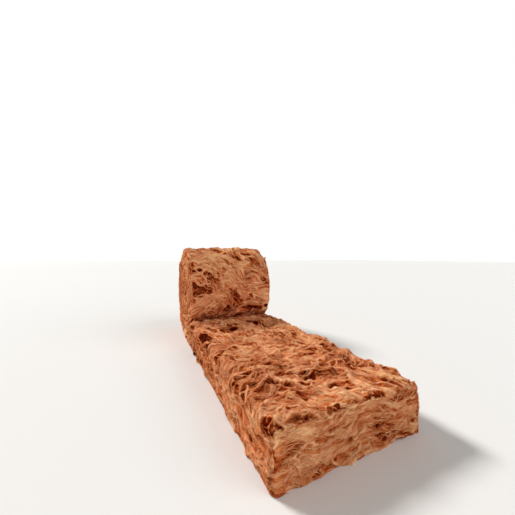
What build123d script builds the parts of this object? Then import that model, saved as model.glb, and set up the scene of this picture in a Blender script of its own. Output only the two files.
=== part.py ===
"""A roll of glass wool loft insulation, part of it laid and the rest still wound.

The blanket is one piece of fibre, bonded but soft. Its free end lies flat and has sprung back
to the full thickness. The rest is wound, and each turn is pressed thinner than the one outside
it. The winding goes from the floor up the back, over the top and down the front, and then
round again inside.

Frame: X runs along the axis of the roll, across the blanket. Y runs along the laid length,
with the free end at -Y and the roll at +Y. Z is up, and the floor is Z = 0. The origin is on
the floor, in the middle of the width and of the overall length. Sizes are in millimetres.
"""

import os
from math import cos, pi, radians, sin

from build123d import *

# The blanket
blanket_width = 570.0
laid_thickness = 170.0
laid_reach = 1380.0  # from the free end to the axis, 7030 with the wound length below
edge_bevel = 10.0  # the soft corner of the cut edges

# The laid face swells and sinks where the wool has sprung back unevenly, in waves that cross
swell_height = 5.0  # of each wave
swell_lengths = (170.0, 220.0, 300.0)
swell_headings = (30.0, -50.0, 80.0)  # degrees from the laid length
swell_fade = 120.0  # the stretch over which the swells die out at both ends
swell_sections = 27  # along the laid length
swell_points = 13  # across each section

# The winding, in half turns that meet on the upright through the axis
half_turns = 11
outer_turn_thickness = 64.0
inner_turn_thickness = 36.0
eye_radius = 30.0
turn_gap = 4.0  # how far the edges of two turns stand apart at the ends of the roll
gap_depth = 26.0  # how deep that gap goes in before the turns press together
inner_end_reach = 16.0  # how far the inner end hangs out into the eye

# The laid length parts from the roll this far round from straight below the axis, and once it
# has curved over to its full thickness it runs level for a little
parting_angle = 36.0
level_run = 20.0

# Each half turn is half a thickness smaller than the last, down to the two walls of the eye
thinning = (outer_turn_thickness - inner_turn_thickness) / half_turns
losses = [(outer_turn_thickness - thinning * k) / 2 for k in range(half_turns + 1)]
radii = [eye_radius + sum(losses[k:]) for k in range(half_turns + 2)]
heights = [radii[0]]
for k, loss in enumerate(losses):
    heights.append(heights[k] + (loss if k % 2 == 0 else -loss))

wound_length = sum(pi * (radii[k] - losses[k]) for k in range(half_turns))
overall_length = laid_reach + radii[0]
axis_y = overall_length / 2 - radii[0]
free_end_y = -overall_length / 2
inner_width = blanket_width - 2 * gap_depth


def turn_plane(k):
    """The upright plane where half turn k starts, with local Y outwards from its centre."""
    goes_down_the_front = k % 2 == 1
    away = (0, -1, 0) if goes_down_the_front else (0, 1, 0)
    return Plane(origin=(0, axis_y, heights[k]), x_dir=(1, 0, 0), z_dir=away)


def turn_axis(k):
    """The line that half turn k is turned about."""
    return Axis((0, axis_y, heights[k]), (1, 0, 0))


def wound_profile(radius):
    """Half the section of the roll out to a radius, with the soft edge of the blanket."""
    with BuildSketch() as profile:
        with Locations((0, radius / 2)):
            Rectangle(blanket_width, radius)
        chamfer(profile.vertices().group_by(Axis.Y)[-1], edge_bevel)
    return profile.sketch


def recess_profile(radius, depth):
    """The section of a recess in each end of the roll, with its mouth opened to the bevel."""
    end_x = blanket_width / 2
    with BuildSketch() as profile:
        with BuildLine():
            Polyline((end_x, 0), (end_x - depth, 0), (end_x - depth, radius))
            Line((end_x - depth, radius), (end_x - edge_bevel, radius))
            Polyline((end_x - edge_bevel, radius), (end_x, radius + edge_bevel), (end_x, 0))
        make_face()
        mirror(about=Plane.YZ)
    return profile.sketch


def crown_ends(gap):
    """Where the laid face parts from the roll, and the crest that it curves over to.

    It leaves the roll along its tangent, a gap below it.
    """
    angle = radians(parting_angle)
    reach = radii[1] + gap
    parting = (axis_y - reach * sin(angle), heights[1] - reach * cos(angle))
    crown_radius = (laid_thickness - parting[1]) / (1 - cos(angle))
    return parting, (parting[0] - crown_radius * sin(angle), laid_thickness)


level_y = crown_ends(turn_gap)[1][0] - level_run


def parting_outline(gap):
    """The side outline of the laid length by the roll, with its upper face a gap below the roll."""
    angle = radians(parting_angle)
    parting, crest = crown_ends(gap)
    under_roll = (axis_y, outer_turn_thickness - gap)
    with BuildSketch() as outline:
        with BuildLine():
            Line((axis_y, 0), under_roll)
            RadiusArc(under_roll, parting, radii[1] + gap)
            TangentArc(parting, crest, tangent=(-cos(angle), sin(angle)))
            Polyline(crest, (level_y, laid_thickness), (level_y, 0), (axis_y, 0))
        make_face()
    return outline.sketch


def swell(x, y):
    """How far the laid face stands above or below the laid thickness at a place on it."""
    height = 0.0
    for length, heading in zip(swell_lengths, swell_headings):
        along = x * sin(radians(heading)) + y * cos(radians(heading))
        height += swell_height * cos(2 * pi * along / length)
    fade = min(max(min(y - free_end_y, level_y - y) / swell_fade, 0), 1)
    return height * fade**2 * (3 - 2 * fade)


def swell_section(y):
    """The section of the laid wool at a place, with its soft corners run on past its sides."""
    side = blanket_width / 2 - edge_bevel
    crown = []
    for n in range(swell_points):
        x = side * (2 * n / (swell_points - 1) - 1)
        crown.append((x, laid_thickness + swell(x, y)))
    run_on = 2 * edge_bevel
    with BuildSketch() as section:
        with BuildLine():
            Spline(crown)
            Polyline(
                crown[-1],
                (side + run_on, crown[-1][1] - run_on),
                (side + run_on, -run_on),
                (-side - run_on, -run_on),
                (-side - run_on, crown[0][1] - run_on),
                crown[0],
            )
        make_face()
    return section.sketch


def laid_bounds():
    """The side outline that the swelling stretch is cut to, with the soft corner of its end."""
    headroom = swell_height * (len(swell_lengths) + 1)
    with BuildSketch() as outline:
        with BuildLine():
            Polyline(
                (level_y, 0),
                (level_y, laid_thickness + headroom),
                (free_end_y + edge_bevel + headroom, laid_thickness + headroom),
                (free_end_y, laid_thickness - edge_bevel),
                (free_end_y, 0),
                (level_y, 0),
            )
        make_face()
    return outline.sketch


# The roll: each half turn sits in a recess of the one outside it
with BuildPart() as roll:
    for k in range(half_turns):
        if k > 1:
            with BuildSketch(turn_plane(k)):
                add(recess_profile(radii[k] + turn_gap, gap_depth))
            revolve(axis=turn_axis(k), revolution_arc=180, mode=Mode.SUBTRACT)
        with BuildSketch(turn_plane(k)):
            add(wound_profile(radii[k]))
        revolve(axis=turn_axis(k), revolution_arc=180)

    # The eye, whose wall steps in by one thickness at the inner end of the blanket
    for k in (half_turns, half_turns + 1):
        with BuildSketch(turn_plane(k)):
            add(recess_profile(radii[k], blanket_width / 2))
        revolve(axis=turn_axis(k), revolution_arc=180, mode=Mode.SUBTRACT)

# The inner end of the blanket, at the start of what would be the next half turn
with BuildPart() as inner_end:
    with BuildSketch(turn_plane(half_turns)):
        with Locations((0, radii[half_turns] - losses[half_turns])):
            Rectangle(blanket_width, inner_turn_thickness)
    extrude(amount=inner_end_reach)
    faces_on_y = inner_end.faces().filter_by(Axis.Y)
    cut_face = faces_on_y.sort_by(lambda face: abs(face.center().Y - axis_y))[-1]
    side_edges = inner_end.edges().filter_by(Axis.Y)
    chamfer(cut_face.edges() + side_edges, edge_bevel)

# The laid length by the roll, with soft edges along its sides but not across its two ends
with BuildPart() as parting_length:
    with BuildSketch(Plane.YZ):
        add(parting_outline(gap=turn_gap))
    extrude(amount=blanket_width / 2, both=True)
    long_edges = parting_length.edges().filter_by(lambda e: level_y + 1 < e.center().Y < axis_y - 1)
    chamfer(long_edges.group_by(Axis.X)[0] + long_edges.group_by(Axis.X)[-1], edge_bevel)

# The bounds of the rest of it, with soft edges at the floor and up its free end
with BuildPart() as bounds:
    with BuildSketch(Plane.YZ):
        add(laid_bounds())
    extrude(amount=blanket_width / 2, both=True)
    free_end = bounds.faces().sort_by(Axis.Y)[0]
    underside = bounds.faces().sort_by(Axis.Z)[0]
    side_edges = underside.edges().filter_by(Axis.Y)
    chamfer(free_end.edges().sort_by(Axis.Z)[:-1] + side_edges, edge_bevel)

# The rest of the laid length, lofted through its sections and cut to those bounds
with BuildPart() as swelling_length:
    past_end = free_end_y - edge_bevel
    for n in range(swell_sections):
        y = past_end + (level_y - past_end) * n / (swell_sections - 1)
        with BuildSketch(Plane(origin=(0, y, 0), x_dir=(1, 0, 0), z_dir=(0, -1, 0))):
            add(swell_section(y))
    loft()
    add(bounds.part, mode=Mode.INTERSECT)

# The whole blanket, with the laid wool pressed against the roll inside the gap
with BuildPart() as wool_blanket:
    add(roll.part)
    add(inner_end.part)
    add(parting_length.part)
    add(swelling_length.part)
    with BuildSketch(Plane.YZ):
        add(parting_outline(gap=0))
    extrude(amount=inner_width / 2, both=True)

wool_blanket.part.label = "wool_blanket"
os.makedirs("parts", exist_ok=True)
export_step(wool_blanket.part, "parts/wool_blanket.step")

print("overall length", overall_length, "height", 2 * radii[0], "width", blanket_width)
print("length of blanket", round(wound_length + laid_reach), "of it wound", round(wound_length))
print("volume in litres", round(wool_blanket.part.volume / 1e6, 1))
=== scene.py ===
"""A roll of brown glass wool, part of it laid flat and the rest still wound.

The wool is one blanket. Its faces are built as pieces of skin in the blanket's own measures,
along its length and across it. On each skin torn flakes of wool are laid one over another, and
loose fibre bundles lie on top of them. Lengths in the functions are in millimetres.
"""

import math

import bpy
import numpy as np
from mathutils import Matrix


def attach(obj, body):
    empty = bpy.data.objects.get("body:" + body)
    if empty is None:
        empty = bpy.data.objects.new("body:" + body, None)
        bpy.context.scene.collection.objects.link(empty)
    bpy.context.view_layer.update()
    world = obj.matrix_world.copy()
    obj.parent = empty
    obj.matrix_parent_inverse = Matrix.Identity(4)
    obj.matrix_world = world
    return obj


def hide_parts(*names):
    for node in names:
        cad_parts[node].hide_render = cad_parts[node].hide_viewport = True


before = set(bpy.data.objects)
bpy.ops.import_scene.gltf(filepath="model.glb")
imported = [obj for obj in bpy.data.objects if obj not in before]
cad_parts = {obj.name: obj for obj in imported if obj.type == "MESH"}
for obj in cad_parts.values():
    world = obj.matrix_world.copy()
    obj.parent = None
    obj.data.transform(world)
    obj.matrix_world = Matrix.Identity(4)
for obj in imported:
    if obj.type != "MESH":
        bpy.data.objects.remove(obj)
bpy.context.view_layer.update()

bl_info = {
    "name": "Glass wool roll",
    "version": (1, 0, 0),
    "blender": (4, 5, 0),
    "location": "3D View > Sidebar > Wool Roll",
    "description": "Builds a part-unrolled roll of glass wool and its studio",
    "category": "Object",
}

MM = 0.001


# Settings


def hex_colour(text):
    """A linear colour from sRGB hex."""
    parts = [int(text[k : k + 2], 16) / 255 for k in (1, 3, 5)]
    return tuple(c / 12.92 if c <= 0.04045 else ((c + 0.055) / 1.055) ** 2.4 for c in parts)


def size_setting(name, description, default):
    """A size that can be changed, in metres."""
    return bpy.props.FloatProperty(
        name=name, description=description, default=default, subtype="DISTANCE", unit="LENGTH"
    )


def colour_setting(name, description, default):
    """A colour that can be changed, from its sRGB hex value."""
    return bpy.props.FloatVectorProperty(
        name=name, description=description, size=3, default=hex_colour(default), subtype="COLOR"
    )


class BlanketSizes(bpy.types.PropertyGroup):
    """The sizes of the blanket, as it lies and as it is wound."""

    width: size_setting("Width", "Across the blanket", 0.570)
    laid_thickness: size_setting("Laid thickness", "How thick the laid wool stands", 0.170)
    laid_reach: size_setting("Laid reach", "From the free end to the axis of the roll", 1.380)
    outer_turn: size_setting("Outer turn", "Thickness of the outermost turn", 0.064)
    inner_turn: size_setting("Inner turn", "Thickness of the innermost turn", 0.036)
    eye_radius: size_setting("Eye radius", "Radius of the hole in the roll", 0.030)
    swell_height: size_setting("Swell height", "Of each wave that crosses the laid face", 0.005)
    half_turns: bpy.props.IntProperty(name="Half turns", description="How many are wound", default=11)
    parting_angle: bpy.props.FloatProperty(
        name="Parting angle",
        description="From straight below the axis to where the roll and the laid wool part",
        default=math.radians(36),
        subtype="ANGLE",
        unit="ROTATION",
    )


class WoolLook(bpy.types.PropertyGroup):
    """How fine the skins of the wool are, and its colours: the wool's own face colour, and the painted shade
    and painted highlight.
    """

    spacing: size_setting("Skin spacing", "Between the points of a skin", 0.0034)
    # the crest colour is a painted highlight, and the shade and hollow colours are painted shade; the face
    # colour is the wool's own
    painted_highlight_colour: colour_setting("Crests", "Fibre that stands up and catches the light", "#fcc496")
    face_colour: colour_setting("Face", "The matted face, brown with binder", "#da773f")
    painted_shade_colour: colour_setting("Shade", "Wool that lies lower, beside the flakes", "#933213")
    hollow_colour: colour_setting("Hollows", "Deep wool, where little light gets", "#4c0c04")


# The shape of the blanket


# Three waves cross the laid face, the same as in the solid: their lengths, and their headings in
# degrees from the laid length. They fade out over one stretch, and leave a level run before the roll.
SWELL_LENGTHS = (170.0, 220.0, 300.0)
SWELL_HEADINGS = (30.0, -50.0, 80.0)
SWELL_FADE = 120.0
LEVEL_RUN = 20.0


class Blanket:
    """The blanket's outline from the side: where its two faces run, laid and wound."""

    def __init__(self, sizes):
        self.swell_height = sizes.swell_height / MM
        self.width = sizes.width / MM
        self.laid_thickness = sizes.laid_thickness / MM
        self.parting_angle = sizes.parting_angle
        self.half_turns = n = sizes.half_turns
        outer, inner = sizes.outer_turn / MM, sizes.inner_turn / MM
        # each half turn is smaller than the one before by half the thickness, which falls evenly
        losses = [(outer - (outer - inner) / n * k) / 2 for k in range(n + 1)]
        self.radii = np.array([sizes.eye_radius / MM + sum(losses[k:]) for k in range(n + 2)])
        # their centres step up and down, so that one half turn meets the next
        heights = [self.radii[0]]
        for k, loss in enumerate(losses):
            heights.append(heights[k] + (loss if k % 2 == 0 else -loss))
        self.heights = np.array(heights)
        length = sizes.laid_reach / MM + self.radii[0]
        self.axis_y = length / 2 - self.radii[0]
        self.free_end_y = -length / 2
        # the laid face rounds down from its crest to the line where it parts from the roll
        sine, cosine = math.sin(self.parting_angle), math.cos(self.parting_angle)
        self.parting_y = self.axis_y - self.radii[1] * sine
        parting_z = self.heights[1] - self.radii[1] * cosine
        self.crown_radius = (self.laid_thickness - parting_z) / (1 - cosine)
        self.crest_y = self.parting_y - self.crown_radius * sine

    def laid_height(self, y):
        """How high the laid face is, along the floor."""
        under = self.heights[1] - np.sqrt(np.maximum(self.radii[1] ** 2 - (y - self.axis_y) ** 2, 0))
        past_crest = np.clip(y - self.crest_y, 0, self.crown_radius)
        crown = self.laid_thickness - self.crown_radius
        crown = crown + np.sqrt(np.maximum(self.crown_radius**2 - past_crest**2, 0))
        return np.where(y > self.parting_y, under, crown)

    def swell(self, x, y):
        """How far the laid face swells above its thickness or sinks below it."""
        height = 0.0
        for length, heading in zip(SWELL_LENGTHS, np.radians(SWELL_HEADINGS)):
            along = x * np.sin(heading) + y * np.cos(heading)
            height = height + self.swell_height * np.cos(2 * math.pi * along / length)
        to_end = np.minimum(y - self.free_end_y, self.crest_y - LEVEL_RUN - y)
        fade = np.clip(to_end / SWELL_FADE, 0, 1)
        return height * fade**2 * (3 - 2 * fade)

    def wound_point(self, angle):
        """Y and Z on the outer face of the wound wool, at an angle from straight below the axis."""
        k = np.clip(np.floor(angle / math.pi + 1e-9).astype(int), 0, len(self.radii) - 1)
        y = self.axis_y + self.radii[k] * np.sin(angle)
        z = self.heights[k] - self.radii[k] * np.cos(angle)
        return np.stack([y, z], -1)

    def wound_angles(self, start, end, spacing):
        """Angles from start to end, a step of about one spacing apart along the outer face."""
        angles = [start]
        while angles[-1] < end:
            k = min(int(angles[-1] / math.pi), len(self.radii) - 1)
            angles.append(angles[-1] + spacing / self.radii[k])
        return np.array(angles)


# Grids of values, and fields of random heights


def unit(vectors):
    """The vectors at a length of one."""
    return vectors / np.maximum(np.linalg.norm(vectors, axis=-1, keepdims=True), 1e-9)


def sample(grid, i, j):
    """Values of a grid between its points."""
    i = np.clip(i, 0, grid.shape[0] - 1.001)
    j = np.clip(j, 0, grid.shape[1] - 1.001)
    i0, j0 = i.astype(int), j.astype(int)
    a, b = i - i0, j - j0
    if grid.ndim == 3:
        a, b = a[..., None], b[..., None]
    low = grid[i0, j0] * (1 - b) + grid[i0, j0 + 1] * b
    high = grid[i0 + 1, j0] * (1 - b) + grid[i0 + 1, j0 + 1] * b
    return low * (1 - a) + high * a


def soften(field, spacing, sigma, sigma_across=None):
    """The field blurred by sigma millimetres, or by another sigma across it."""
    sigma_across = sigma if sigma_across is None else sigma_across
    pad = [min(int(3 * size / spacing) + 1, n - 1) for size, n in zip((sigma, sigma_across), field.shape)]
    wide = np.pad(field, [(pad[0], pad[0]), (pad[1], pad[1])], mode="reflect")
    rows = np.fft.fftfreq(wide.shape[0], spacing)[:, None]
    columns = np.fft.rfftfreq(wide.shape[1], spacing)[None, :]
    keep = np.exp(-2 * math.pi**2 * ((sigma * rows) ** 2 + (sigma_across * columns) ** 2))
    wide = np.fft.irfft2(np.fft.rfft2(wide) * keep, wide.shape)
    return wide[pad[0] : pad[0] + field.shape[0], pad[1] : pad[1] + field.shape[1]]


def bumps(rng, shape, spacing, size, size_across=None):
    """Smooth random heights, mostly between -1 and 1, in bumps of about one size across."""
    size_across = size if size_across is None else size_across
    field = soften(rng.standard_normal(shape), spacing, size / 4, size_across / 4)
    return field / (2 * field.std())


# How many cells long and wide a patch of grain is, and the share of its height that grooves take
GRAIN_CELLS = 1024
GROOVE = 0.35


class Grain:
    """Strands of wool side by side, as a patch of one-millimetre cells that repeats."""

    def __init__(self, rng, length, width):
        rows = np.fft.fftfreq(GRAIN_CELLS)[:, None]
        columns = np.fft.rfftfreq(GRAIN_CELLS)[None, :]
        keep = np.exp(-2 * (math.pi / 4) ** 2 * ((length * rows) ** 2 + (width * columns) ** 2))
        cells = (GRAIN_CELLS, GRAIN_CELLS)
        field = np.fft.irfft2(np.fft.rfft2(rng.standard_normal(cells)) * keep, cells)
        field /= 2 * field.std()
        # round strands with narrow grooves between them
        self.strands = np.minimum(np.abs(field) / GROOVE, 1) ** 0.7
        self.streaks = field


def look_up(cells, p, q):
    """Values of a grain's cells, p millimetres along its strands and q across them."""
    return cells[np.floor(p).astype(int) % GRAIN_CELLS, np.floor(q).astype(int) % GRAIN_CELLS]


# Skins: the faces of the blanket, as grids of points


# How far the wool may stand out of the blanket's sides, and how far it stays above the floor
SIDE_REACH = 23
FLOOR_GAP = 0.4


def within_bounds(points):
    """The points kept above the floor, and from standing far out of the blanket's sides."""
    widest = bpy.context.scene.blanket_sizes.width / MM / 2 + SIDE_REACH
    points[..., 0] = np.clip(points[..., 0], -widest, widest)
    points[..., 2] = np.maximum(points[..., 2], FLOOR_GAP)
    return points


class Skin:
    """One face of the wool as a grid of points, with the relief on it."""

    def __init__(self, points, outward, spacing, rng):
        self.base = points
        normal = unit(np.cross(np.gradient(points, axis=0), np.gradient(points, axis=1)))
        if np.sum(normal[points.shape[0] // 2, points.shape[1] // 2] * np.array(outward)) < 0:
            normal = -normal
        self.normal = normal
        self.spacing = spacing
        self.rng = rng
        self.shape = points.shape[:2]
        # the relief, the smoother face that loose fibres bridge, which way the fibre runs, and what
        # makes the wool lighter or darker: its flake, its patch, its strands, and the painted shade and
        # painted highlights of its hollows and crests
        for field in ("height", "envelope", "turn", "tone", "patch", "streak", "hollow"):
            setattr(self, field, np.zeros(self.shape))
        # where each point lies on its flake: along it, across it, and on which one
        rows, columns = np.indices(self.shape) * spacing
        self.comb = np.stack([rows, columns, 0 * rows], -1)
        self.coarse_grain = Grain(rng, 75, 9)
        self.fine_grain = Grain(rng, 34, 4.5)

    def area(self):
        """Its area in square millimetres."""
        return self.shape[0] * self.shape[1] * self.spacing**2

    def bumps(self, size, size_across=None):
        """Random bumps over all of it."""
        return bumps(self.rng, self.shape, self.spacing, size, size_across)

    def surface(self):
        """The points with the relief on them."""
        return within_bounds(self.base + self.normal * self.height[..., None])


# Flakes of wool


# The level of the wool where no flake lies, before the holes are made shallower
HOLE_FLOOR = -14
# How much lower a flake lies where it leaves its own face of the blanket
SINK_BEYOND = 11
# A flake with more than this half width rolls up along one of its sides
ROLLED_HALF_WIDTH = 12
# The mean level of the layers of a cut edge, and how deep a split between them goes
EDGE_LEVEL = -3.0
SPLIT_DEPTH = 6.5

# The kinds of flake: the least and the most of length, of width and of the lift of its middle off
# the skin; then its stray from the flow in radians, the height of its strands, its tilt and its bend
SHEETS = (150, 300), (60, 130), (-12, 2), 0.25, 2.0, 0.12, 0.3
TORN_FLAKES = (80, 180), (20, 50), (-10, 4), 0.35, 1.6, 0.17, 0.4
LOCKS = (50, 120), (6, 16), (-5, 6), 0.45, 1.2, 0.2, 0.5
WISPS = (25, 80), (3.5, 8), (-4, 7), 0.55, 0.6, 0.22, 0.8
ROPES = (110, 220), (4, 8), (2, 6), 0.5, 1.0, 0.1, 0.6
EDGE_LAYERS = (60, 150), (9, 22), (-8, 2), 0.12, 2.2, 0.16, 0.3
EDGE_WISPS = (25, 80), (3.5, 9), (-5, 5), 0.25, 1.2, 0.22, 0.5
PRESSED_FLAKES = (80, 180), (20, 50), (-4, 2), 0.3, 1.5, 0.1, 0.35


def lay_flakes(skin, count, flow, allowed, length, width, lift, stray, strand, steep, bend):
    """Lay torn flakes of wool one over another: each keeps where it is the highest."""
    rng, spacing = skin.rng, skin.spacing
    rows, columns = skin.shape
    coarse, fine = skin.coarse_grain, skin.fine_grain
    beyond = np.zeros(skin.shape)
    if allowed is not None:
        beyond = SINK_BEYOND * (1 - np.clip(soften(allowed > 0.02, spacing, 14) * 2, 0, 1))
    for _ in range(count):
        i, j = rng.uniform(0, rows), rng.uniform(0, columns)
        half_length = rng.uniform(*length) / 2
        half_width = rng.uniform(*width) / 2
        # two of the draws are spare
        turned, curved, tilt, pitch, rolled, tone = rng.normal(0, 1, 8)[:6]
        offset = rng.uniform(0, 1000, 3)
        rise = rng.uniform(*lift)
        if allowed is not None and rng.uniform() > allowed[int(i), int(j)]:
            continue
        # the part of the skin that it can cover
        reach = 1.2 * (half_length + half_width) / spacing
        i0, i1 = max(int(i - reach), 0), min(int(i + reach) + 2, rows)
        j0, j1 = max(int(j - reach), 0), min(int(j + reach) + 2, columns)
        cover = (slice(i0, i1), slice(j0, j1))
        down = (np.arange(i0, i1)[:, None] - i) * spacing
        across = (np.arange(j0, j1)[None, :] - j) * spacing
        # p runs along the flake and q across it
        turn = flow[int(i), int(j)] + stray * turned
        cosine, sine = math.cos(turn), math.sin(turn)
        p = down * cosine + across * sine
        q = across * cosine - down * sine
        curve = bend * curved / half_length
        q = q - curve * p * p
        # the ends are frayed along the strands, the long sides are torn in slow waves
        fray = look_up(coarse.streaks, offset[0] + 0.05 * p, offset[1] + 1.5 * q)
        waves = look_up(coarse.streaks, offset[1] + 2.0 * p, offset[2] + 0 * q)
        p1 = p / half_length * (1 + 0.35 * fray)
        q1 = q / half_width * (1 + 0.3 * waves)
        inside = np.abs(p1) ** 2.5 + np.abs(q1) ** 2.5 < 1
        bundle = look_up(coarse.strands, p + offset[0], q + offset[1])
        thread = look_up(fine.streaks, p + offset[1], q + offset[2])
        lock = look_up(coarse.streaks, p + offset[2], q + offset[0])
        # it tilts, thins towards its torn edges, and has its strands on top
        profile = rise + steep * tilt * q + 0.4 * steep * pitch * p
        profile -= (1 + 0.1 * half_width) * q1**2 + 3 * p1**4
        profile += strand * (0.5 * (bundle - 1) + 0.8 * lock + 0.5 * thread)
        if half_width > ROLLED_HALF_WIDTH:
            profile += 0.9 * strand * np.exp(-((q1 - 0.8 * np.sign(rolled)) ** 2) * 14) * abs(rolled)
        profile -= beyond[cover]
        on_top = inside & (profile > skin.height[cover])
        skin.height[cover][on_top] = profile[on_top]
        skin.tone[cover][on_top] = tone
        skin.turn[cover][on_top] = (turn + 2 * curve * p)[on_top]
        skin.streak[cover][on_top] = (0.5 * (bundle - 0.8) + 0.7 * lock + 0.7 * thread)[on_top]
        comb = skin.comb[cover]
        comb[..., 0][on_top] = (p + offset[0])[on_top]
        comb[..., 1][on_top] = (q + offset[1])[on_top]
        comb[..., 2][on_top] = offset[2]


def lay_edge_wool(skin, allowed=None, waves=7.0):
    """The cut edge: thin layers of fibre that run along the blanket, split here and there."""
    spacing, shape = skin.spacing, skin.shape
    i, j = np.indices(shape)
    wander = waves * skin.bumps(260, 120) + 0.35 * waves * skin.bumps(90, 60)
    layers = 2.2 * skin.bumps(150, 13) + 1.2 * skin.bumps(90, 30)
    splits = skin.bumps(200, 16)
    layers = sample(layers, i * 1.0, j + wander / spacing)
    splits = sample(splits, i * 1.0, j + wander / spacing)
    # a split opens along a line where the field of splits crosses zero, in some stretches
    open_stretch = np.clip(skin.bumps(160, 50), 0, 1)
    layers = layers - SPLIT_DEPTH * np.clip(np.abs(splits) * -5 + 1, 0, 1) * open_stretch
    along = np.arctan2(-np.gradient(wander, axis=0), 1)
    mine = np.ones(shape, bool) if allowed is None else allowed > 0.5
    skin.height[mine] = (EDGE_LEVEL + layers)[mine]
    skin.turn[mine] = along[mine]
    # the streaks follow the layers' heights: partly the grain of the layers, and partly painted shade, darker
    # in the splits
    skin.streak[mine] = (layers / 5)[mine]
    skin.tone[mine] = (1.2 * skin.bumps(140, 16))[mine]
    skin.comb[mine] = np.stack([i * spacing, j * spacing + wander, 0 * i], -1)[mine]
    lay_flakes(skin, int(skin.area() / 2600), along, allowed, *EDGE_LAYERS)
    lay_flakes(skin, int(skin.area() / 800), along, allowed, *EDGE_WISPS)


def lay_face_wool(skin, flow, allowed, rough):
    """The matted face: broad combed sheets, torn flakes, wisps where it is rough, and some ropes."""
    near = np.clip(soften(allowed, skin.spacing, 8) * 1.4, 0, 1)
    # each flake of a kind has so many square millimetres of the skin to itself
    for area_each, kind, where in (
        (4600, SHEETS, near),
        (3000, TORN_FLAKES, near),
        (1000, LOCKS, near * rough),
        (650, WISPS, near * rough),
        (150000, ROPES, allowed),
    ):
        lay_flakes(skin, int(skin.area() / area_each), flow, where, *kind)


def face_flow(skin):
    """Which way the matted wool is combed at each point, and how rough it is there."""
    flow = math.pi / 2 + 1.0 * skin.bumps(480) + 0.7 * skin.bumps(170)
    rough = np.clip(0.45 + 0.9 * skin.bumps(300), 0.1, 1)
    return flow, rough


# The rest of the relief


def crimp(skin, amount):
    """Bend the combed relief to and fro by some millimetres, as matted fibre is."""
    spacing, shape = skin.spacing, skin.shape
    # it is stronger in some stretches, and each bend has finer ones in it
    amount = amount * np.clip(0.7 + 0.5 * skin.bumps(200), 0.2, 1.2) / spacing
    bends = [skin.bumps(34) + 0.15 * skin.bumps(15) for _ in range(2)]
    i, j = np.indices(shape)
    i, j = i + amount * bends[0], j + amount * bends[1]
    skin.height = sample(skin.height, i, j)
    i = np.clip(np.round(i).astype(int), 0, shape[0] - 1)
    j = np.clip(np.round(j).astype(int), 0, shape[1] - 1)
    for name in ("tone", "streak", "turn", "comb"):
        setattr(skin, name, getattr(skin, name)[i, j])


# Below this height a hole keeps only a share of its depth
HOLE_LIMIT = -8
HOLE_SHARE = 0.4
# The sizes of surroundings that a point is compared with, and how far above them a point gets the full
# painted highlight of a crest
SURROUNDINGS = (8, 28, 60)
CREST_HEIGHTS = (6.5, 8.5, 7)
# For the painted shading: how light an even face is between the painted shade of a hollow and the painted
# highlight of a crest, and how much painted shade a steep side gets
EVEN_FACE = 0.42
STEEP_SHADE = 1.2
# How far above the smoothed face loose fibres bridge it
BRIDGE_LIFT = 1.5


def finish_relief(skin, lump, lump_size, share=1.0):
    """Soften the edges of the flakes, paint shade into the hollows and highlights onto the crests, and add
    the lumps that all of it lies on.
    """
    spacing = skin.spacing
    skin.height = np.maximum(skin.height, HOLE_SHARE * skin.height + (1 - HOLE_SHARE) * HOLE_LIMIT)
    skin.height = 0.7 * skin.height + 0.3 * soften(skin.height, spacing, spacing * 1.1)
    # painted shading: crests are above zero and get a painted highlight, hollows are below it and get painted
    # shade, in small and in wide surroundings
    levels = [skin.height] + [soften(skin.height, spacing, size) for size in SURROUNDINGS]
    hollow = EVEN_FACE
    for level, around, crest in zip(levels, levels[1:], CREST_HEIGHTS):
        hollow = hollow + (level - around) / crest
    # steep sides get painted shade too
    slope = np.hypot(*np.gradient(soften(skin.height, spacing, 4), spacing))
    hollow = hollow - STEEP_SHADE * np.clip(slope, 0, 0.8)
    skin.hollow = np.where(hollow > 0, 0.8 * np.tanh(hollow / 0.8), np.maximum(hollow, -1.0))
    skin.envelope = levels[1] + BRIDGE_LIFT
    lumps = skin.bumps(lump_size) + 0.9 * skin.bumps(lump_size / 2.5)
    skin.height += lump * share * lumps
    skin.envelope += lump * share * lumps
    skin.patch = skin.bumps(260) + 0.6 * skin.bumps(90)


# The relief is lowered to this share at a seam, and grows to its full height over this distance
SEAM_SHARE = 0.45
SEAM_REACH = 24


def calm(skin, from_seam):
    """Lower the relief towards a seam, so that the two skins that meet there stay closed."""
    share = SEAM_SHARE + (1 - SEAM_SHARE) * np.clip(from_seam / SEAM_REACH, 0, 1)
    skin.height = skin.height * share
    skin.envelope = skin.envelope * share


# How far the crimp bends the fibre of a face and of the turns' edges, and the height of the lumps
FACE_CRIMP = 3.6
EDGE_CRIMP = 2.0
FACE_LUMP = 7.0


def lay_wool(skin, on_face, lump_size, edge_share):
    """Lay a matted face and the cut edges beside it, and return how rough the face is.

    The lumps have their full height on the face, and a share of it on the edges.
    """
    flow, rough = face_flow(skin)
    skin.height[:] = HOLE_FLOOR
    lay_edge_wool(skin, 1 - on_face)
    lay_face_wool(skin, flow, on_face, rough)
    crimp(skin, FACE_CRIMP)
    finish_relief(skin, FACE_LUMP, lump_size, edge_share + (1 - edge_share) * on_face)
    return rough


# Meshes


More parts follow.
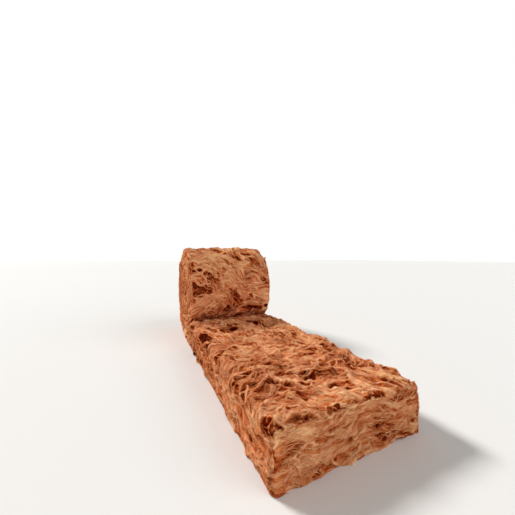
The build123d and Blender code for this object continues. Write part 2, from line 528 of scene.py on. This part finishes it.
def wool_piece(name, points, faces, attributes):
    """A mesh object of wool from points and quads, on the frame in place of the plain blanket."""
    mesh = bpy.data.meshes.new(name)
    mesh.vertices.add(len(points))
    mesh.vertices.foreach_set("co", (points * MM).astype(np.float32).ravel())
    mesh.loops.add(faces.size)
    mesh.loops.foreach_set("vertex_index", faces.astype(np.int32).ravel())
    mesh.polygons.add(len(faces))
    mesh.polygons.foreach_set("loop_start", np.arange(0, faces.size, 4, dtype=np.int32))
    mesh.update(calc_edges=True)
    mesh.polygons.foreach_set("use_smooth", np.ones(len(faces), dtype=bool))
    for key, values in attributes.items():
        kind = "FLOAT" if values.ndim == 1 else "FLOAT_VECTOR"
        layer = mesh.attributes.new(key, kind, "POINT")
        layer.data.foreach_set("value" if kind == "FLOAT" else "vector", values.astype(np.float32).ravel())
    mesh.materials.append(wool_material())
    piece = bpy.data.objects.new(name, mesh)
    bpy.context.scene.collection.objects.link(piece)
    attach(piece, "root")
    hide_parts("wool_blanket")


def skin_piece(name, skin, rows=slice(None)):
    """One skin, or some of its rows, as a mesh."""
    points = skin.surface()[rows]
    n, m = points.shape[:2]
    index = np.arange(n * m).reshape(n, m)
    faces = np.stack([index[:-1, :-1], index[1:, :-1], index[1:, 1:], index[:-1, 1:]], -1).reshape(-1, 4)
    along = points[1:, :-1] - points[:-1, :-1]
    across = points[:-1, 1:] - points[:-1, :-1]
    facing = np.sum(np.cross(along, across) * skin.normal[rows][:-1, :-1])
    if facing < 0:
        faces = faces[:, ::-1]
    attributes = {
        # painted shade in the hollows and painted highlights on the crests, for the material
        "hollow": skin.hollow[rows].ravel(),
        "tone": (skin.tone + 1.6 * skin.patch)[rows].ravel(),
        "streak": skin.streak[rows].ravel(),
        "comb": (skin.comb[rows] * MM).reshape(-1, 3),
    }
    wool_piece(name, points.reshape(-1, 3), faces, attributes)


# Loose fibre bundles


# Points along each fibre, and how far it lies off the face beneath
KNOTS = 5
OFF_FACE = 0.4

# The kinds of fibre bundle: the least and the most of length and of width, how high an end can
# stand, and the stray from the comb in radians
FACE_FIBRES = (18, 60), (0.8, 2.2), 6, 0.25
FREE_END_FIBRES = (18, 60), (0.8, 2.2), 8, 0.25
TURN_FIBRES = (18, 55), (0.8, 1.8), 6, 0.25
FRINGE = (18, 45), (1.0, 2.4), 7, 0.9


def follow_comb(skin, i, j, step, stray):
    """The rows and columns that fibres pass from a first point on, knot by knot along the comb."""
    spacing, count = skin.spacing, len(i)
    heading = np.stack([soften(np.cos(skin.turn), spacing, 6), soften(np.sin(skin.turn), spacing, 6)], -1)
    own = skin.rng.normal(0, stray, count)
    bend = skin.rng.normal(0, 0.12, count)
    lane = np.zeros((2, count, KNOTS))
    lane[:, :, 0] = i, j
    for n in range(1, KNOTS):
        way = sample(heading, *lane[:, :, n - 1])
        turn = np.arctan2(way[:, 1], way[:, 0]) + own + n * bend
        lane[:, :, n] = lane[:, :, n - 1] + step * np.stack([np.cos(turn), np.sin(turn)])
    return lane


def loose_fibres(name, skin, count, allowed, length, width, stand, stray):
    """Flat bundles of fibre that follow the comb of a skin and lift off it here and there."""
    rng = skin.rng
    rows, columns = skin.shape
    i = rng.uniform(2, rows - 3, count)
    j = rng.uniform(2, columns - 3, count)
    if allowed is not None:
        kept = rng.uniform(0, 1, count) < sample(allowed, i, j)
        i, j = i[kept], j[kept]
        count = len(i)
    size = rng.uniform(*length, count)
    lane = follow_comb(skin, i, j, size / (KNOTS - 1) / skin.spacing, stray)
    # most lie on the relief, some bridge its hollows from crest to crest
    envelope = skin.base + skin.normal * skin.envelope[..., None]
    surface = skin.base + skin.normal * (skin.height[..., None] + OFF_FACE)
    bridge = rng.uniform(0, 1, (count, 1, 1)) ** 2.5
    line = sample(envelope, *lane) * bridge + sample(surface, *lane) * (1 - bridge)
    up = unit(sample(skin.normal, *lane))
    # their ends stand up a little, a few of them high
    t = np.linspace(-1, 1, KNOTS)
    ends = rng.uniform(-0.5, 1, (count, 2)) ** 3 * stand
    lift = ends[:, :1] * np.clip(t, 0, 1)[None, :] ** 2 + ends[:, 1:] * np.clip(-t, 0, 1)[None, :] ** 2
    line = line + up * (lift + 0.3)[..., None]
    # they taper to both ends, and lean and twist about their own line
    ahead = unit(np.gradient(line, axis=1))
    side = unit(np.cross(ahead, up))
    over = np.cross(side, ahead)
    half = rng.uniform(*width, (count, 1)) / 2 * (1.05 - t[None, :] ** 2) ** 0.6
    lean = rng.normal(0, 0.5, (count, 1)) + t[None, :] * rng.normal(0, 0.6, (count, 1))
    reach = side * (half * np.cos(lean))[..., None] + over * (half * np.sin(lean))[..., None]
    points = within_bounds(np.stack([line - reach, line + reach], 2))
    index = np.arange(count * KNOTS * 2).reshape(count, KNOTS, 2)
    faces = np.stack([index[:, :-1, 0], index[:, :-1, 1], index[:, 1:, 1], index[:, 1:, 0]], -1)
    # each has its own place in the pattern of the material
    places = [rng.uniform(0, 900, (count, 1, 1)) for _ in range(3)]
    comb = np.zeros((count, KNOTS, 2, 3))
    comb[..., 0] = np.linspace(0, 1, KNOTS)[None, :, None] * size[:, None, None] + places[0]
    comb[..., 1] = np.arange(2)[None, None, :] * width[1] + places[1]
    comb[..., 2] = places[2]
    each = np.ones((count, KNOTS, 2))
    # each fibre takes the painted shading of the wool beneath it, and those that bridge its hollows get less
    # painted shade
    beneath = sample(skin.hollow, *lane) * (1 - 0.3 * bridge[..., 0]) + 0.2 * bridge[..., 0]
    attributes = {
        "hollow": (each * beneath[..., None]).ravel(),
        "tone": (each * rng.normal(0.3, 0.8, (count, 1, 1))).ravel(),
        "streak": (each * rng.normal(0.2, 0.6, (count, 1, 1))).ravel(),
        "comb": comb.reshape(-1, 3) * MM,
    }
    wool_piece(name, points.reshape(-1, 3), faces.reshape(-1, 4), attributes)


# Skins of this blanket


def rounded_edge(thickness, gap, depth, arc, wall, wall_rows, spacing):
    """Down the side edge of a turn: how far in from the side, and how far in from the outer face.

    It bulges like a pillow, depth deep and about arc long, and runs on into the gaps on both sides
    of the turn until it is wall deep.
    """
    t = np.linspace(-math.pi / 2, math.pi / 2, int(arc / spacing))
    # the power of a half circle is 1, and a lower one makes it squarer
    power = 2 / 2.7
    inset = depth * (1 - np.abs(np.cos(t)) ** power)
    across = np.sign(np.sin(t)) * np.abs(np.sin(t)) ** power
    walls = np.linspace(wall, depth, wall_rows, endpoint=False)
    inset = np.concatenate([walls, inset, walls[::-1]])
    across = np.concatenate([-np.ones(wall_rows), across, np.ones(wall_rows)])
    half = (thickness[:, None] - gap) / 2
    inset = np.broadcast_to(inset, (len(thickness), len(inset)))
    return inset, thickness[:, None] / 2 + half * across[None, :]


def turn_points(x, inward, outer, inner, thickness):
    """Points inside a turn, from how far in they lie from its outer face."""
    share = (inward / thickness[:, None])[..., None]
    return np.concatenate([x[..., None], outer[:, None] * (1 - share) + inner[:, None] * share], -1)


def laid_skin(blanket, spacing, rng):
    """The laid wool: up one long side, over the top and down the other side."""
    corner, end_corner, foot, tuck, under_roll = 22.0, 12.0, 9.0, 15.0, 46
    # round the free end, from behind its cut face, then along to a little under the roll
    angles = np.linspace(math.pi / 2, 0, int(end_corner * math.pi / 2 / spacing) + 2)
    end_y = np.concatenate([[tuck, tuck / 2], end_corner * (1 - np.sin(angles))]) + blanket.free_end_y
    inset = np.concatenate([[end_corner, end_corner], end_corner * (1 - np.cos(angles))])
    run = np.arange(end_y[-1] + spacing, blanket.parting_y + under_roll, spacing)
    y = np.concatenate([end_y, run])
    inset = np.concatenate([inset, np.zeros(len(run))])
    top = blanket.laid_height(y)
    half = blanket.width / 2
    foot_turn = np.linspace(0, math.pi / 2, 4)[None, :]
    corner_turn = np.linspace(0, math.pi / 2, int(corner * math.pi / 2 / spacing) + 1)[None, :]
    side = np.linspace(0, 1, int((blanket.laid_thickness - corner - foot) / spacing))[None, 1:-1]
    face = np.linspace(-1, 1, int((blanket.width - 2 * corner) / spacing))[None, 1:-1]
    rows = np.ones((len(y), 1))
    high = top[:, None]
    round_in = corner - inset[:, None]
    # the foot, the upright side and the rounded corner
    x_side = [
        rows * foot * (1 - np.sin(foot_turn)) + inset[:, None],
        inset[:, None] + 0 * side,
        corner - round_in * np.cos(corner_turn),
    ]
    z_side = [
        rows * foot * (1 - np.cos(foot_turn)),
        foot + (high - corner - foot) * side,
        high - corner + round_in * np.sin(corner_turn),
    ]
    x_left = np.concatenate(x_side, 1) - half
    z_left = np.concatenate(z_side, 1)
    x = np.concatenate([x_left, rows * (half - corner) * face, -x_left[:, ::-1]], 1)
    z = np.concatenate([z_left, high - inset[:, None] + 0 * face, z_left[:, ::-1]], 1)
    z = z + blanket.swell(np.clip(x, corner - half, half - corner), y[:, None]) * z / high
    on_top = np.zeros(x.shape)
    start = x_left.shape[1] - corner_turn.shape[1]
    on_top[:, start : x.shape[1] - start] = 1
    points = np.stack([x, y[:, None] + 0 * x, z], -1)
    return Skin(points, (0, 0, 1), spacing, rng), on_top


def outer_turn_skin(blanket, spacing, rng):
    """The outside of the roll with the two side edges of its outermost turn."""
    depth, gap, arc, wall, wall_rows, lap = 19.0, 5.0, 104.0, 34.0, 5, 4
    # it runs on a little past the line where the roll and the laid wool part
    end = 2 * math.pi - blanket.parting_angle + math.radians(9)
    angles = blanket.wound_angles(0.0, end, spacing)
    outer = blanket.wound_point(angles)
    inner = blanket.wound_point(angles + 2 * math.pi)
    thickness = np.linalg.norm(inner - outer, axis=-1)
    inset, inward = rounded_edge(thickness, gap, depth, arc, wall, wall_rows, spacing)
    face = np.linspace(-1, 1, int((blanket.width - 2 * depth) / spacing))[1:-1]
    half = blanket.width / 2
    # from the gap on the left, over the edge, across the outside and round to the right gap
    left_inset, left_inward = inset[:, ::-1][:, :-wall_rows], inward[:, ::-1][:, :-wall_rows]
    middle = np.ones((len(angles), 1)) * (half - depth) * face
    x = np.concatenate([-half + left_inset, middle, half - left_inset[:, ::-1]], 1)
    inward = np.concatenate([left_inward, np.full(middle.shape, gap / 2), left_inward[:, ::-1]], 1)
    points = turn_points(x, inward, outer, inner, thickness)
    # the matted face laps over the edge by a few points
    edge_points = left_inset.shape[1] - lap
    on_face = np.zeros(x.shape)
    on_face[:, edge_points : x.shape[1] - edge_points] = 1
    at_top = int(np.searchsorted(angles, math.pi))
    return Skin(points, (0, 1, 0), spacing, rng), on_face, at_top


def turn_edge_skin(blanket, spacing, rng, side):
    """The edges of the inner turns, as one long strip round and round to the inner end."""
    depth, gap, arc, wall, wall_rows = 17.0, 5.0, 80.0, 32.0, 4
    tip, tip_inset, sunk, wander_height = 14, 16, 2, 3.0
    last_angle, last_radius = blanket.half_turns * math.pi, blanket.radii[-2]
    # the strip starts a little before the parting line, and ends straight, past the last half turn
    start = 2 * math.pi - blanket.parting_angle - math.radians(4)
    angles = blanket.wound_angles(start, last_angle + tip / last_radius, spacing)
    on_turns = np.minimum(angles, last_angle - 1e-6)
    outer = blanket.wound_point(on_turns)
    inner = blanket.wound_point(on_turns + 2 * math.pi)
    past = np.maximum(angles - last_angle, 0) * last_radius
    forward = -1 if blanket.half_turns % 2 else 1
    outer[:, 0] += forward * past
    inner[:, 0] += forward * past
    thickness = np.linalg.norm(inner - outer, axis=-1)
    # the tip is rounded off: the edge gets thinner there and turns in from the side
    left = np.clip((angles[-1] - angles) * last_radius / tip, 0, 1)
    pinch = np.sqrt(1 - (1 - left) ** 2)
    inset, inward = rounded_edge(thickness, gap, depth, arc, wall, wall_rows, spacing)
    inward = thickness[:, None] / 2 + (inward - thickness[:, None] / 2) * np.maximum(pinch, 0.05)[:, None]
    inset = inset + (1 - pinch)[:, None] * tip_inset
    # the turns stand out of the side and sink into it by some millimetres
    wander = soften(rng.standard_normal((len(angles), 3)), spacing, 90)[:, :1]
    wander = wander / max(wander.std(), 1e-9) * wander_height
    x = side * (blanket.width / 2 - inset - sunk + np.minimum(wander, 2 * wander_height))
    points = turn_points(x, inward, outer, inner, thickness)
    return Skin(points, (side, 0, 0), spacing, rng)


def under_roll_skin(blanket, spacing, rng, side):
    """The side edge of the laid wool where the roll sits on it."""
    depth, gap, arc, wall, wall_rows = 18.0, 4.0, 130.0, 34.0, 5
    before_parting, past_axis = 16, 22
    y = np.arange(blanket.parting_y - before_parting, blanket.axis_y + past_axis, spacing)
    thickness = blanket.laid_height(np.minimum(y, blanket.axis_y))
    inset, inward = rounded_edge(thickness, gap, depth, arc, wall, wall_rows, spacing)
    x = side * (blanket.width / 2 - inset)
    z = np.broadcast_to(inward, x.shape)
    points = np.stack([x, y[:, None] + 0 * x, z], -1)
    return Skin(points, (side, 0, 0), spacing, rng)


def underside_skin(blanket, spacing, rng):
    """The underside of the laid wool, just off the floor from the free end to under the roll."""
    off_floor, border, past_axis = 3.0, 4, 16
    y = np.arange(blanket.free_end_y + 2 * border, blanket.axis_y + past_axis, spacing)
    x = np.arange(border - blanket.width / 2, blanket.width / 2 - border + 1, spacing)
    points = np.stack([x + 0 * y[:, None], y[:, None] + 0 * x, np.full((len(y), len(x)), off_floor)], -1)
    return Skin(points, (0, 0, -1), spacing, rng)


def free_end_skin(blanket, spacing, rng):
    """The cut face of the free end, tucked behind the rounded edges of the laid wool."""
    half = blanket.width / 2
    border, tuck, bend, wave_height, wave_length = 4.0, 17.0, 9.0, 3, 50
    x = np.linspace(-half + border, half - border, int(2 * half / spacing))
    z = np.linspace(0.5, blanket.laid_thickness - border, int(blanket.laid_thickness / spacing))
    # the face ends along a wavy line, where it turns in behind the laid wool
    wobble = wave_height * bumps(rng, (len(x), len(z)), spacing, wave_length)
    near_side = (np.abs(x)[:, None] - (half - border - bend) - wobble) / bend
    near_top = (z - (blanket.laid_thickness - border - bend) - wobble) / bend
    behind = tuck * np.clip(np.maximum(near_side, near_top), 0, 1) ** 1.5
    y = blanket.free_end_y - 1.0 + behind
    points = np.stack([x[:, None] + 0 * z, y, z[None, :] + 0 * x[:, None]], -1)
    return Skin(points, (0, -1, 0), spacing, rng)


def gap_floor_skin(blanket, spacing, rng, side):
    """The bottom of the gap between the turns, where they press against each other."""
    below_side = 29
    angles = blanket.wound_angles(0.0, (blanket.half_turns - 2) * math.pi, 4 * spacing)
    into_turn = np.array([-15.0, -5.0, 5.0, 15.0])
    outer = blanket.wound_point(angles)
    middle = blanket.wound_point(angles + 2 * math.pi)
    yz = middle[:, None] + unit(middle - outer)[:, None] * into_turn[None, :, None]
    x = np.full(yz.shape[:2], side * (blanket.width / 2 - below_side))
    return Skin(np.concatenate([x[..., None], yz], -1), (side, 0, 0), spacing, rng)


def eye_skin(blanket, spacing, rng):
    """The hole through the roll, round its wall and the blanket's inner end, from side to side."""
    half_turn = blanket.half_turns
    front, back_angle = blanket.radii[half_turn], (half_turn + 2) * math.pi
    reach, rounding, off_lip, wall_points, below_side = 14.0, 7.0, 4, 46, 15
    angles = np.linspace(half_turn * math.pi + math.asin(reach / front), back_angle, wall_points)
    wall = blanket.wound_point(angles)
    top = blanket.heights[half_turn] + math.sqrt(front**2 - reach**2)
    low = blanket.wound_point(np.array([back_angle]))[0, 1]
    lip_y = blanket.axis_y - reach
    turn = np.linspace(0, math.pi / 2, 4)
    lip = [
        np.stack([lip_y + rounding * (1 - np.sin(turn)), low + rounding * (1 - np.cos(turn))], -1),
        np.array([[lip_y, low + rounding + off_lip], [lip_y, (low + top) / 2], [lip_y, top - off_lip]]),
    ]
    path = np.concatenate([wall[:-1], *lip, wall[:1]])
    x = np.linspace(-1, 1, int(blanket.width / spacing / 2)) * (blanket.width / 2 - below_side)
    points = np.concatenate([x[:, None, None] + 0 * path[None, :, :1], path[None] + 0 * x[:, None, None]], -1)
    on_wall = points[len(x) // 2, points.shape[1] // 4]
    inward = np.array([0, blanket.axis_y, blanket.heights[half_turn]]) - on_wall
    return Skin(points, (0, inward[1], inward[2]), spacing, rng)


# Materials


def set_node(tree, node, settings=None, links=None):
    """Give a node its settings, and link its inputs from other nodes' outputs."""
    for key, value in (settings or {}).items():
        if isinstance(key, int) or key in node.inputs:
            node.inputs[key].default_value = value
        else:
            setattr(node, key, value)
    for key, source in (links or {}).items():
        tree.links.new(source, node.inputs[key])
    return node


def add_node(tree, kind, settings=None, links=None):
    """Add a node with its settings and links."""
    return set_node(tree, tree.nodes.new("ShaderNode" + kind), settings, links)


def new_material(name):
    """A new material, with its node tree and its shader."""
    material = bpy.data.materials.new(name)
    material.use_nodes = True
    return material, material.node_tree, material.node_tree.nodes["Principled BSDF"]


# Bundles of fibre in the wool's pattern, in millimetres
BUNDLE_LENGTH = 45.45
BUNDLE_WIDTH = 6.667


def glass_wool(look):
    """Glass wool, spun and matted, with a brown binder.

    To the eye it is dull and soft and streaked along its fibres; shade is painted dark where it lies deep,
    and a highlight is painted pale on its crests.
    """
    material, tree, shader = new_material("Glass wool, matted")
    hollow, tone, streak, comb = (
        add_node(tree, "Attribute", {"attribute_name": name})
        for name in ("hollow", "tone", "streak", "comb")
    )
    # real fibres are 0.006 mm thick and never show: the coarsest streaks are bundles of them, as
    # long and wide as the two values above, and the finest have a sixteenth of that size
    per_metre = (1 / (BUNDLE_LENGTH * MM), 1 / (BUNDLE_WIDTH * MM), 1 / (BUNDLE_WIDTH * MM))
    stretch = add_node(tree, "Mapping", {"Scale": per_metre}, {"Vector": comb.outputs["Vector"]})
    noise = {"Scale": 1.0, "Detail": 4.0, "Roughness": 0.72}
    bundles = add_node(tree, "TexNoise", noise, {"Vector": stretch.outputs[0]})
    # light or dark: first the painted shade of the hollows and the painted highlight of the crests, then the
    # flake, its strands and the bundles
    level = add_node(tree, "MapRange", {"From Min": -0.9, "From Max": 0.95}, {"Value": hollow.outputs["Fac"]})
    toned = add_node(
        tree, "Math", {"operation": "MULTIPLY_ADD", 1: 0.1}, {0: tone.outputs["Fac"], 2: level.outputs[0]}
    )
    streaked = add_node(
        tree, "Math", {"operation": "MULTIPLY_ADD", 1: 0.28}, {0: streak.outputs["Fac"], 2: toned.outputs[0]}
    )
    centred = add_node(tree, "Math", {"operation": "SUBTRACT", 1: 0.5}, {0: bundles.outputs["Fac"]})
    mixed = add_node(tree, "Math", {"operation": "ADD"}, {0: streaked.outputs[0], 1: centred.outputs[0]})
    ramp = add_node(tree, "ValToRGB", {}, {"Fac": mixed.outputs[0]})
    # the ramp runs from the deepest painted shade through painted shade and the wool's own face colour to a
    # painted highlight
    stops = ramp.color_ramp.elements
    stops[0].position, stops[0].color = 0.0, (*look.hollow_colour, 1)
    stops[1].position, stops[1].color = 1.0, (*look.painted_highlight_colour, 1)
    for place, colour in ((0.24, look.painted_shade_colour), (0.52, look.face_colour)):
        stops.new(place).color = (*colour, 1)
    # the binder varies: lighter patches are slightly yellower too
    drift = add_node(tree, "MapRange", {"From Min": -1.0, "From Max": 2.0}, {"Value": tone.outputs["Fac"]})
    # inputs 6 and 7 of this node are its two colours, and its output 2 is the mixed one
    ochre = add_node(
        tree,
        "Mix",
        {"data_type": "RGBA", "blend_type": "MULTIPLY", 7: (1.0, 0.99, 0.85, 1.0)},
        {0: drift.outputs[0], 6: ramp.outputs["Color"]},
    )
    bump = add_node(tree, "Bump", {"Strength": 1.0, "Distance": 0.002}, {"Height": bundles.outputs["Fac"]})
    # loose fibre has no face to shine, and light soaks up to 5 mm into it, red light the farthest
    finish = {
        "Roughness": 0.9,
        "Specular IOR Level": 0.0,
        "subsurface_method": "BURLEY",
        "Subsurface Weight": 0.5,
        "Subsurface Radius": (1.0, 0.85, 0.75),
        "Subsurface Scale": 0.005,
    }
    set_node(tree, shader, finish, {"Base Color": ochre.outputs[2], "Normal": bump.outputs["Normal"]})
    return material


def wool_material():
    """The wool's material, made once."""
    return bpy.data.materials.get("Glass wool, matted") or glass_wool(bpy.context.scene.wool_look)


def floor_paint():
    """Matt floor paint, rolled on: even, light and without a shine, so that it sets off the wool."""
    paint, tree, shader = new_material("Studio floor, matt paint")
    set_node(tree, shader, {"Base Color": (*hex_colour("#e9e7e3"), 1), "Roughness": 0.9})
    return paint


# Operators


# How far the fringe reaches along the laid wool, and how far the end's seam is from its borders
FRINGE_REACH = 14
END_SEAM = 12
# With another seed the flakes and fibres lie in other places
LAID_SEED, OUTER_SEED, LEFT_SEED, RIGHT_SEED, EYE_SEED = 13, 23, 31, 37, 41


def working_spacing(context):
    return context.scene.wool_look.spacing / MM * 1.0


class WOOL_OT_laid_length(bpy.types.Operator):
    """Build the laid length with its long sides, its free end and its underside"""

    bl_idname = "wool.laid_length"
    bl_label = "Laid length"

    def execute(self, context):
        blanket = Blanket(context.scene.blanket_sizes)
        spacing = working_spacing(context)
        rng = np.random.default_rng(LAID_SEED)
        skin, on_top = laid_skin(blanket, spacing, rng)
        rough = lay_wool(skin, on_top, lump_size=76, edge_share=0.6)
        calm(skin, skin.base[..., 1] - blanket.free_end_y)
        skin_piece("laid_wool", skin)
        loose_fibres("laid_fibres", skin, 19000, 0.3 + rough, *FACE_FIBRES)
        at_end = np.where(skin.base[..., 1] < blanket.free_end_y + FRINGE_REACH, 1.0, 0.0)
        loose_fibres("end_fringe", skin, 30000, at_end, *FRINGE)
        under = underside_skin(blanket, 2 * spacing, rng)
        flow, _ = face_flow(under)
        lay_flakes(under, 900, flow, None, *PRESSED_FLAKES)
        finish_relief(under, lump=0.5, lump_size=190)
        skin_piece("laid_underside", under)
        end = free_end_skin(blanket, spacing, rng)
        lay_edge_wool(end)
        crimp(end, FACE_CRIMP)
        finish_relief(end, lump=4.0, lump_size=90)
        to_side = blanket.width / 2 - END_SEAM - np.abs(end.base[..., 0])
        to_top = blanket.laid_thickness - END_SEAM - end.base[..., 2]
        calm(end, np.minimum(to_side, to_top))
        skin_piece("free_end", end)
        loose_fibres("free_end_fibres", end, 1500, None, *FREE_END_FIBRES)
        return {"FINISHED"}


class WOOL_OT_outer_turn(bpy.types.Operator):
    """Build the outside of the roll"""

    bl_idname = "wool.outer_turn"
    bl_label = "Outer turn"

    def execute(self, context):
        blanket = Blanket(context.scene.blanket_sizes)
        rng = np.random.default_rng(OUTER_SEED)
        skin, on_face, at_top = outer_turn_skin(blanket, working_spacing(context), rng)
        rough = lay_wool(skin, on_face, lump_size=110, edge_share=0.4)
        skin_piece("outer_turn_back", skin, slice(0, at_top + 1))
        skin_piece("outer_turn_front", skin, slice(at_top, None))
        loose_fibres("outer_turn_fibres", skin, 19000, 0.3 + rough, *FACE_FIBRES)
        return {"FINISHED"}


class WOOL_OT_turn_edges(bpy.types.Operator):
    """Build the edges of the turns on both ends of the roll, and the eye through it"""

    bl_idname = "wool.turn_edges"
    bl_label = "Turn edges"

    def execute(self, context):
        blanket = Blanket(context.scene.blanket_sizes)
        spacing = working_spacing(context)
        for name, side, seed in (("left", -1, LEFT_SEED), ("right", 1, RIGHT_SEED)):
            rng = np.random.default_rng(seed)
            skin = turn_edge_skin(blanket, spacing, rng, side)
            lay_edge_wool(skin, waves=3.0)
            crimp(skin, EDGE_CRIMP)
            finish_relief(skin, lump=1.6, lump_size=60)
            skin_piece(name + "_turn_edges", skin)
            loose_fibres(name + "_turn_fibres", skin, 4000, None, *TURN_FIBRES)
            floor = gap_floor_skin(blanket, spacing, rng, side)
            # painted shade: this sheet at the bottom of the gap gets the darkest painted shade all over
            floor.hollow = np.full(floor.shape, -1.0)
            skin_piece(name + "_gap_floor", floor)
            under = under_roll_skin(blanket, spacing, rng, side)
            lay_edge_wool(under, waves=3.0)
            finish_relief(under, lump=2.0, lump_size=60)
            skin_piece(name + "_under_roll", under)
        rng = np.random.default_rng(EYE_SEED)
        eye = eye_skin(blanket, spacing, rng)
        ripple = eye.bumps(60, 12)
        eye.height = 1.5 * ripple
        # painted shade: the hole is painted dark deep inside and lighter towards its two mouths, and its
        # ripples are painted lighter on their crests
        depth = blanket.width / 2 - np.abs(eye.base[..., 0])
        eye.hollow = np.clip(0.1 - depth / 60, -0.9, 0) + 0.5 * ripple
        skin_piece("eye", eye)
        return {"FINISHED"}


# The stage, in metres and degrees
FLOOR_REACH = 40
SUNS = (
    # name, place, spread of its light, strength
    ("key", (-1.8, 2.7, 3.0), 14, 3.0),
    ("fill", (2.2, -2.6, 2.4), 50, 1.1),
)
SUN_TARGET = (0, 0, 0.2)
ROOM_LIGHT = 0.27
CAMERA_PLACE = (-0.5685, -1.396, 0.59)
CAMERA_TURN = 24.7
# This lens on a frame of this width has the photograph's angle of view, in millimetres
LENS = 17.5
FRAME_WIDTH = 36


class WOOL_OT_stage(bpy.types.Operator):
    """Build the floor, the lights and the camera"""

    bl_idname = "wool.stage"
    bl_label = "Stage"

    def execute(self, context):
        scene = context.scene
        mesh = bpy.data.meshes.new("floor")
        s = FLOOR_REACH
        mesh.from_pydata([(-s, -s, 0), (s, -s, 0), (s, s, 0), (-s, s, 0)], [], [(0, 1, 2, 3)])
        mesh.materials.append(floor_paint())
        floor = bpy.data.objects.new("floor", mesh)
        scene.collection.objects.link(floor)
        # the room is white where the camera sees it, and lights the wool only softly
        world = bpy.data.worlds.new("studio")
        scene.world = world
        world.use_nodes = True
        tree = world.node_tree
        path = add_node(tree, "LightPath")
        rays = {0: path.outputs["Is Camera Ray"], 1: path.outputs["Is Glossy Ray"]}
        seen = add_node(tree, "Math", {"operation": "MAXIMUM"}, rays)
        strength = add_node(tree, "MapRange", {"To Min": ROOM_LIGHT}, {"Value": seen.outputs[0]})
        white = {"Color": (1, 1, 1, 1)}
        set_node(tree, tree.nodes["Background"], white, {"Strength": strength.outputs[0]})
        for name, place, spread, power in SUNS:
            data = bpy.data.lights.new(name, "SUN")
            data.angle = math.radians(spread)
            data.energy = power
            lamp = bpy.data.objects.new(name, data)
            lamp.location = place
            aim = np.array(SUN_TARGET) - np.array(place)
            tilt = math.atan2(math.hypot(aim[0], aim[1]), -aim[2])
            lamp.rotation_euler = (tilt, 0, math.atan2(aim[1], aim[0]) - math.pi / 2)
            scene.collection.objects.link(lamp)
        data = bpy.data.cameras.new("camera")
        data.lens = LENS
        data.sensor_width = FRAME_WIDTH
        camera = bpy.data.objects.new("camera", data)
        camera.location = CAMERA_PLACE
        camera.rotation_euler = (math.pi / 2, 0, -math.radians(CAMERA_TURN))
        scene.collection.objects.link(camera)
        scene.camera = camera
        scene.view_settings.view_transform = "Standard"
        return {"FINISHED"}


class WOOL_PT_panel(bpy.types.Panel):
    """The wool roll's settings and steps"""

    bl_idname = "WOOL_PT_panel"
    bl_label = "Wool Roll"
    bl_space_type = "VIEW_3D"
    bl_region_type = "UI"
    bl_category = "Wool Roll"

    def draw(self, context):
        for group in (context.scene.blanket_sizes, context.scene.wool_look):
            for key in group.__annotations__:
                self.layout.prop(group, key)
        for operator in OPERATORS:
            self.layout.operator(operator.bl_idname)


OPERATORS = (WOOL_OT_laid_length, WOOL_OT_outer_turn, WOOL_OT_turn_edges, WOOL_OT_stage)
CLASSES = (BlanketSizes, WoolLook, *OPERATORS, WOOL_PT_panel)


def register():
    for each in CLASSES:
        bpy.utils.register_class(each)
    bpy.types.Scene.blanket_sizes = bpy.props.PointerProperty(type=BlanketSizes)
    bpy.types.Scene.wool_look = bpy.props.PointerProperty(type=WoolLook)


def unregister():
    del bpy.types.Scene.wool_look
    del bpy.types.Scene.blanket_sizes
    for each in reversed(CLASSES):
        bpy.utils.unregister_class(each)


def main():
    register()
    bpy.ops.wool.laid_length()
    bpy.ops.wool.outer_turn()
    bpy.ops.wool.turn_edges()
    bpy.ops.wool.stage()


if __name__ == "__main__":
    main()
